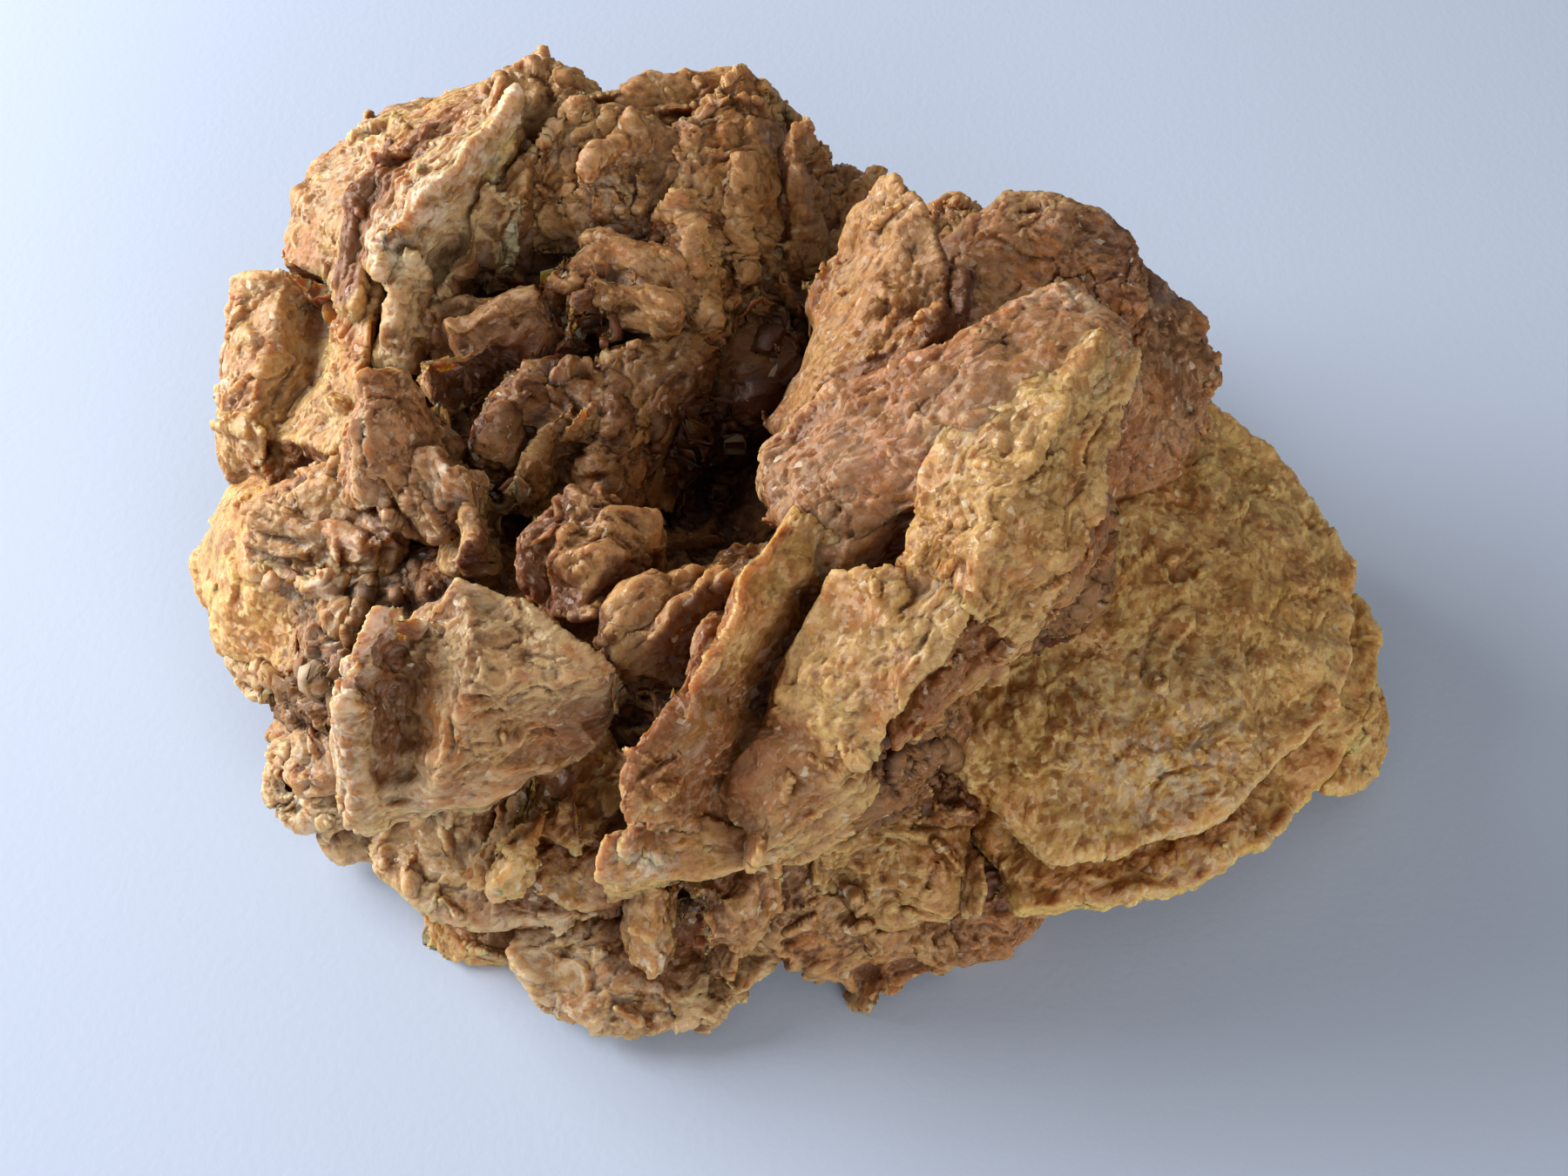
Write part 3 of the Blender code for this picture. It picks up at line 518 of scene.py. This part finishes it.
def raiseSheet(form, box, row, draws):
    # one broad crystal with faces between the lines and a raised edge on both sides
    lines, first, last = row
    low, high = (np.array(corner) / mm for corner in box)
    lines = [low + np.array(line) * (high - low) for line in lines]
    between = 4
    rings = []
    for k in range((len(lines[0]) - 1) * between + 1):
        at, share = min(k // between, len(lines[0]) - 2), k / between
        share -= at
        tops = []
        for line in lines:
            before = line[max(at - 1, 0)]
            after = line[min(at + 2, len(line) - 1)]
            here, there = line[at], line[at + 1]
            curve = 0.5 * (2 * here + (there - before) * share
                           + (2 * before - 5 * here + 4 * there - after) * share ** 2
                           + (3 * here - before - 3 * there + after) * share ** 3)
            tops.append(curve + np.array([draws.uniform(-0.4, 0.4) for _ in range(3)]))
        tops += [tops[-1] + np.array(last), tops[0] + np.array(first)]
        rings.append([form.verts.new(corner * mm) for corner in tops])
    sides = len(rings[0])
    made = [form.faces.new(rings[0][::-1]), form.faces.new(rings[-1])]
    for near, far in zip(rings, rings[1:]):
        for k in range(sides):
            made.append(form.faces.new((near[k], near[(k + 1) % sides], far[(k + 1) % sides], far[k])))
    bmesh.ops.recalc_face_normals(form, faces=made)


def occlusionShadeAt(points, normals, reach):
    # how close the rest of the stone comes to a spot that stands a reach outside each point, used as painted shade
    spots = ((points + normals * reach) * mm).tolist()
    return np.array([1.0 - min(whole.find_nearest(spot)[3] / (reach * mm), 1.0) for spot in spots])


def deepHollowsAt(points):
    # how deep the hollow places of the stone reach at each point, and how much dark sand and painted shade lies there
    low, high = (np.array(corner) / mm for corner in cadBox)
    deep = np.zeros(len(points))
    sand = np.zeros(len(points))
    for middle, radius, depth, heldSandAndShade in hollowsAndShadeSpots:
        apart = (points - (low + np.array(middle) * (high - low))) * (1, 1, 0.5)
        near = np.exp(-((apart / radius) ** 2).sum(axis=1))
        deep += depth * near
        sand = np.maximum(sand, heldSandAndShade * near)
    return deep, sand


# pale crust and painted light from the listed spots
def crustAndLightAt(points):
    low, high = (np.array(corner) / mm for corner in cadBox)
    laid = np.zeros(len(points))
    for middle, radius, amount in crustAndLightSpots:
        apart = (points - (low + np.array(middle) * (high - low))) * (1, 1, 0.6)
        laid = np.maximum(laid, amount * np.exp(-((apart / radius) ** 2).sum(axis=1)))
    return laid


def raisedAt(mesh, points, rounds=32):
    # how far each point stands out of the stone close around it, in mm, and below zero in a crack
    ends = np.empty(len(mesh.edges) * 2, np.int32)
    mesh.edges.foreach_get("vertices", ends)
    first, second = ends[0::2], ends[1::2]
    degree = np.maximum(np.bincount(ends, minlength=len(points)), 1)
    outward = np.empty(len(points) * 3)
    mesh.vertex_normals.foreach_get("vector", outward)
    stands = np.zeros(len(points))
    for axis in range(3):
        worn = points[:, axis].copy()
        for _ in range(rounds):
            near = np.bincount(first, worn[second], len(points)) + np.bincount(second, worn[first], len(points))
            worn = 0.5 * worn + 0.5 * near / degree
        stands += (points[:, axis] - worn) * outward[axis::3]
    return stands


def sculpt(node, slot, seed):
    look = growth[slot]
    draws = random.Random(seed)
    form = bmesh.new()
    form.from_mesh(frame["nodes"][node].data)
    bmesh.ops.remove_doubles(form, verts=form.verts, dist=1e-6)
    plain = np.array([v.co for v in form.verts]) / mm
    middle, ways = plateOf(plain)
    if node in sheets:  # the broad facets carry the shape, and the CAD crystal fills in under them
        core = Vector(middle) * mm
        share = 0.95 if node in ("upper_left_plate", "left_hollow_lobe") else 0.8
        bmesh.ops.scale(form, vec=(share, share, share), verts=form.verts, space=Matrix.Translation(-core))
        bmesh.ops.translate(form, vec=(0, 0, -1.5 * mm), verts=form.verts)
    for row in sheets.get(node, ()):
        raiseSheet(form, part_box(node), row, draws)
    bmesh.ops.triangulate(form, faces=form.faces)
    growFlakes(form, look, draws, calmer.get(node, 1.0))
    for row in spurs.get(node, ()):
        raiseSpur(form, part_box(node), row, draws)
    rough = bpy.data.meshes.new(node + "_rough")
    form.to_mesh(rough)
    form.free()
    piece = linked(node + "_stone", rough)
    fused = piece.modifiers.new("fused", "REMESH")
    fused.mode = "VOXEL"
    fused.voxel_size = look["voxel"] * mm * 1.0
    fused.use_smooth_shade = True
    worn = piece.modifiers.new("worn", "SMOOTH")
    worn.factor = 0.5
    worn.iterations = look["soften"]
    ready = bpy.data.meshes.new_from_object(piece.evaluated_get(bpy.context.evaluated_depsgraph_get()))
    piece.modifiers.clear()
    piece.data = ready
    bpy.data.meshes.remove(rough)

    count = len(ready.vertices)
    points = np.empty(count * 3)
    ready.vertices.foreach_get("co", points)
    points = points.reshape(-1, 3) / mm
    normals = np.empty(count * 3)
    ready.vertex_normals.foreach_get("vector", normals)
    normals = normals.reshape(-1, 3)

    inside = (points - middle) @ ways.T  # across the plate, along it, through it
    half = np.abs((plain - middle) @ ways.T).max(axis=0)
    wander = vectorNoiseAt(points, 3.2, seed)
    broken = noiseAt(points, 7.0, 5)
    calm = np.clip(0.75 + 1.1 * broken, 0.35, 1.25)  # some faces stay smoother than others
    calm *= calmer.get(node, 1.0)

    warped = inside + 1.1 * wander
    flatter = warped * (0.75, 1.15, 2.4)
    broad, crack = facetsAt(flatter, 5.5, seed * 31, 0.8, 0.45)
    scales, _ = facetsAt(flatter, 2.1, seed * 37 + 5, 0.8, 0.7)
    fine, _ = facetsAt(flatter, 1.05, seed * 43 + 2, 0.9, 0.8)
    height = (look["facet"] * 2.2 * broad + look["scale"] * scales + look["grain"] * 1.2 * fine) * calm
    height -= look["scale"] * 0.5 * np.exp(-(crack / 0.06) ** 2) * calm
    turn = np.arctan2(inside[:, 1], inside[:, 0])
    out = np.hypot(inside[:, 0] / half[0], inside[:, 1] / half[1])
    round2 = np.stack([np.cos(turn), np.sin(turn)], axis=1) * (half[:2].mean() / 2.4)
    fan = np.column_stack([round2, inside[:, 2] / 3.0 + out * 1.2])
    height += look["rib"] * 1.6 * noiseAt(fan, 1.0, seed + 3) * np.clip(out * 1.4 - 0.3, 0, 1)
    layer = np.abs(((inside[:, 2] + 0.5 * wander[:, 0]) / 1.15) % 1.0 - 0.5) * 2
    through = np.abs(normals @ ways[2])
    height += look["lamina"] * (layer - 0.5) * (1 - through) * 1.6
    gap, _, _ = cellsAt(warped * (0.62, 1.25, 1.25), seed * 41 + 9)
    height += look["grain"] * 0.3 * np.clip(gap * 1.6, 0, 1)
    slits = noiseAt(warped * (0.4, 1.1, 1.6), 1.05, seed + 11)
    height -= look["pit"] * np.clip((slits - 0.10) / 0.25, 0, 1) * np.clip(0.9 + 0.6 * broken, 0.4, 1.1)
    deep, sand = deepHollowsAt(points)
    moved = points + normals * (height + look["swell"] - deep)[:, None]
    moved += look["bend"] * vectorNoiseAt(points, 9.0, 1)
    moved += look["crinkle"] * wander
    moved[:, 2] = np.maximum(moved[:, 2], cadBox[0][2] / mm)
    ready.vertices.foreach_set("co", (moved * mm).ravel())
    ready.update()
    raised = raisedAt(ready, moved)

    lit = normals @ np.array((-0.62, -0.25, 0.55))
    rim = np.clip((out - 0.6) * 2.5, 0, 1)
    found = dict(
        # lower points get painted shade, raised points painted light
        crevice_shade_and_peak_light=0.5 + height / 3.6 + raised / 1.8,
        rim=rim * np.clip(1.2 - through, 0, 1),
        # listed pale spots, plus painted light on rims that face the window lamp
        crust_and_painted_light=crustAndLightAt(points) * 1.3 + 0.35 * rim * np.clip(lit * 1.6 - 0.2, 0, 1) * look["crust_and_painted_light"],
        # painted shade from how closely the stone closes in, at two reaches
        painted_occlusion_shade=0.6 * occlusionShadeAt(points, normals, 3.0) + 0.4 * occlusionShadeAt(points, normals, 8.0),
        sand=sand + 0.25 * wander[:, 2] * (sand > 0.1))
    for name, values in found.items():
        layerOf = ready.attributes.new(name, "FLOAT", "POINT")
        layerOf.data.foreach_set("value", np.clip(values, 0, 1).astype(np.float32))
    along = (inside + 0.5 * wander) * (0.75, 1.0, 1.4) + seed * 40.0
    grown = ready.attributes.new("grown", "FLOAT_VECTOR", "POINT")
    grown.data.foreach_set("vector", along.astype(np.float32).ravel())
    ready.shade_smooth()
    ready.update()
    return piece


def wholeStone():
    joined = bmesh.new()
    for shape in frame["nodes"].values():
        joined.from_mesh(shape.data)
    tree = BVHTree.FromBMesh(joined)
    joined.free()
    return tree


whole = wholeStone()
finishes = {slot: gypsum(slot, look) for slot, look in growth.items()}
total = 0
for seed, part in enumerate(frame["record"]["subparts"], start=1):
    piece = sculpt(part["node"], part["material_slot"], seed)
    piece.data.materials.clear()
    piece.data.materials.append(finishes[part["material_slot"]])
    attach(piece, "root")
    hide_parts(part["node"])
    total += len(piece.data.polygons)
print("sculpted", len(finishes), "kinds of crystal,", total, "faces")

# ---- floor, light and camera

setting = dict(
    floorColour=(0.57, 0.665, 0.86), floorSize=3.0, window=(-0.50, 0.17, 0.23), windowSize=0.40,
    windowPower=6.0, windowColour=(1.0, 0.985, 0.96), room=(0.25, -0.60, 0.22), roomSize=0.4, roomPower=2.3,
    roomColour=(1.0, 0.97, 0.93), skyColour=(1.0, 0.97, 0.92), skyPower=0.24)

view = dict(aim=(0.0, -0.0114, 0.025), distance=0.214, elevation=55.0, lens=50.0)


def makeFloor():
    half = setting["floorSize"] / 2
    mesh = bpy.data.meshes.new("cloth")
    mesh.from_pydata([(-half, -half, 0), (half, -half, 0), (half, half, 0), (-half, half, 0)], [], [(0, 1, 2, 3)])
    cloth = linked("cloth", mesh)
    made = bpy.data.materials.new("cloth")
    made.use_nodes = True
    tree = made.node_tree
    shader = tree.nodes["Principled BSDF"]
    place = tree.nodes.new("ShaderNodeTexCoord").outputs["Object"]
    weave = addNode(tree, "ShaderNodeTexNoise", Scale=1 / (0.9 * mm), Detail=2.0)
    tree.links.new(place, weave.inputs["Vector"])
    bump = addNode(tree, "ShaderNodeBump", Strength=0.25, Distance=0.1 * mm)
    tree.links.new(weave.outputs[0], bump.inputs["Height"])
    tree.links.new(bump.outputs[0], shader.inputs["Normal"])
    shader.inputs["Base Color"].default_value = (*setting["floorColour"], 1.0)
    shader.inputs["Roughness"].default_value = 0.9
    mesh.materials.append(made)


def makeLamp(name):
    light = bpy.data.lights.new(name, "AREA")
    light.size = setting[name + "Size"]
    light.energy = setting[name + "Power"]
    light.color = setting[name + "Colour"]
    lamp = linked(name, light)
    lamp.location = setting[name]
    lamp.rotation_euler = (Vector((0, 0, 0.02)) - lamp.location).to_track_quat("-Z", "Y").to_euler()


def makeLights():
    makeLamp("window")
    makeLamp("room")
    sky = bpy.data.worlds.new("sky")
    sky.use_nodes = True
    scene.world = sky
    background = sky.node_tree.nodes["Background"]
    background.inputs["Color"].default_value = (*setting["skyColour"], 1.0)
    background.inputs["Strength"].default_value = setting["skyPower"]


def makeCamera():
    camera = linked("camera", bpy.data.cameras.new("camera"))
    camera.data.lens = view["lens"]
    camera.data.clip_start = 0.01
    lift = math.radians(view["elevation"])
    away = Vector((0, -math.cos(lift), math.sin(lift)))
    aim = Vector(view["aim"])
    camera.location = aim + view["distance"] * away
    camera.rotation_euler = (-away).to_track_quat("-Z", "Y").to_euler()
    scene.camera = camera


makeFloor()
makeLights()
makeCamera()
scene.view_settings.view_transform = "Standard"
print("floor, light and camera are in place")
